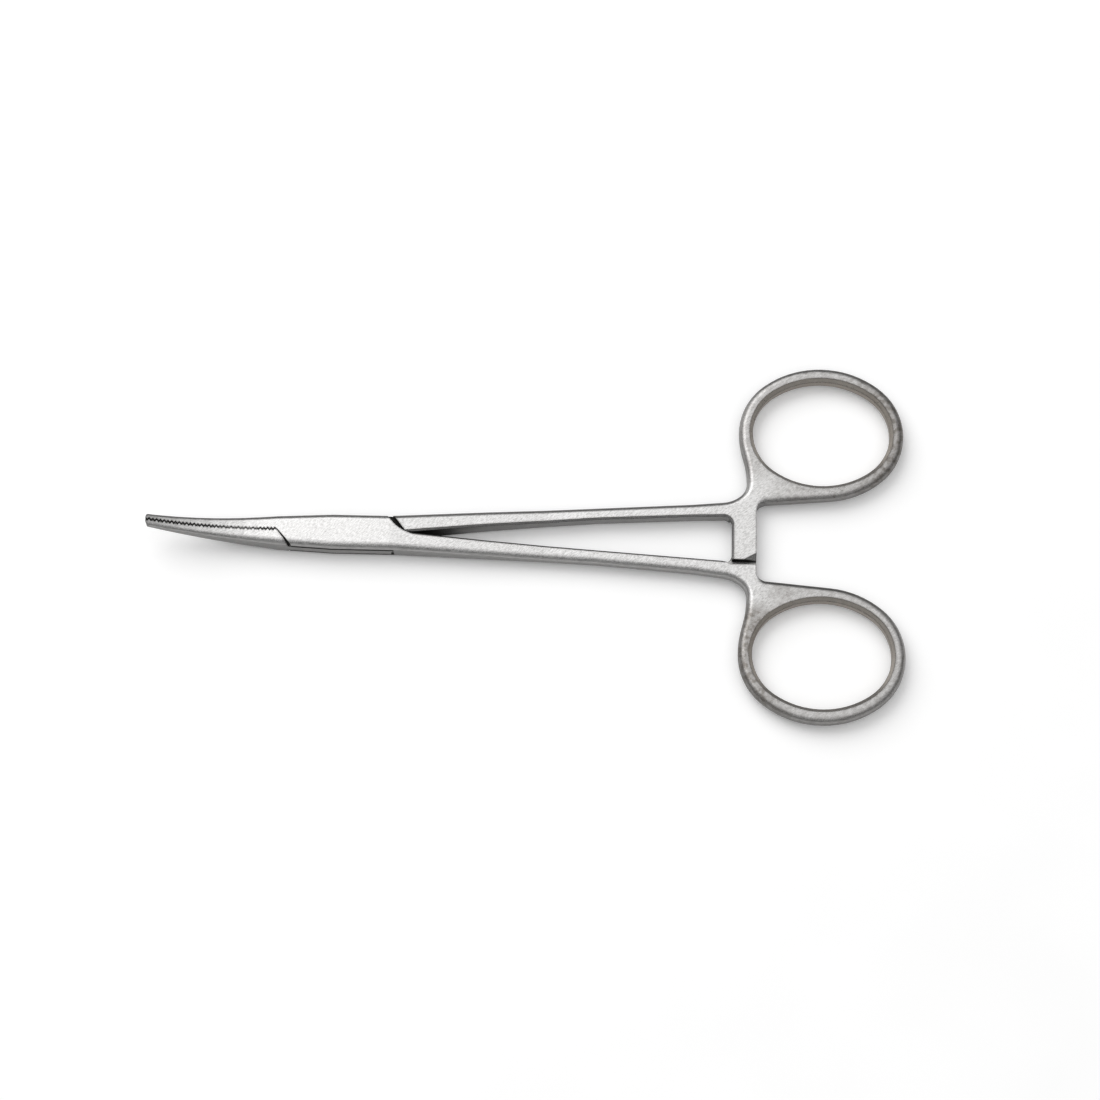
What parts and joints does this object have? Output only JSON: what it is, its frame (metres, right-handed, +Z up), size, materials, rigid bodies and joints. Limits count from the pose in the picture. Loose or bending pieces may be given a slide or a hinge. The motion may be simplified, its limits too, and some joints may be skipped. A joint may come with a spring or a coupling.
{
  "type": "hemostat forceps",
  "caption": "Curved mosquito-pattern haemostatic forceps in satin stainless steel, with a box lock, serrated jaws, a ratchet and finger rings, lying closed.",
  "frame": {"origin": "on the rivet's axis at the underside of the box lock, which is the flat it rests on", "axes": "+X along the closing line from the box lock towards the finger rings, +Y towards the tongue half's ring, +Z up, the way the jaws curve; closed, the rest pose"},
  "size_m": [0.1248, 0.0624, 0.0077],
  "materials": {
    "slotted_steel": "satin ground stainless steel",
    "tongue_steel": "satin ground stainless steel",
    "rivet_steel": "satin ground stainless steel, ground flush"
  },
  "bodies": {
    "slotted": {"slotted_half": "slotted_steel", "pivot_pin": "rivet_steel"},
    "tongue": {"tongue_half": "tongue_steel"}
  },
  "joints": [
    {"name": "box_lock", "type": "hinge", "parent": "slotted", "child": "tongue", "pos_m": [0, 0, 0.0021], "axis": [0, 0, 1], "range_deg": [0, 60]}
  ]
}
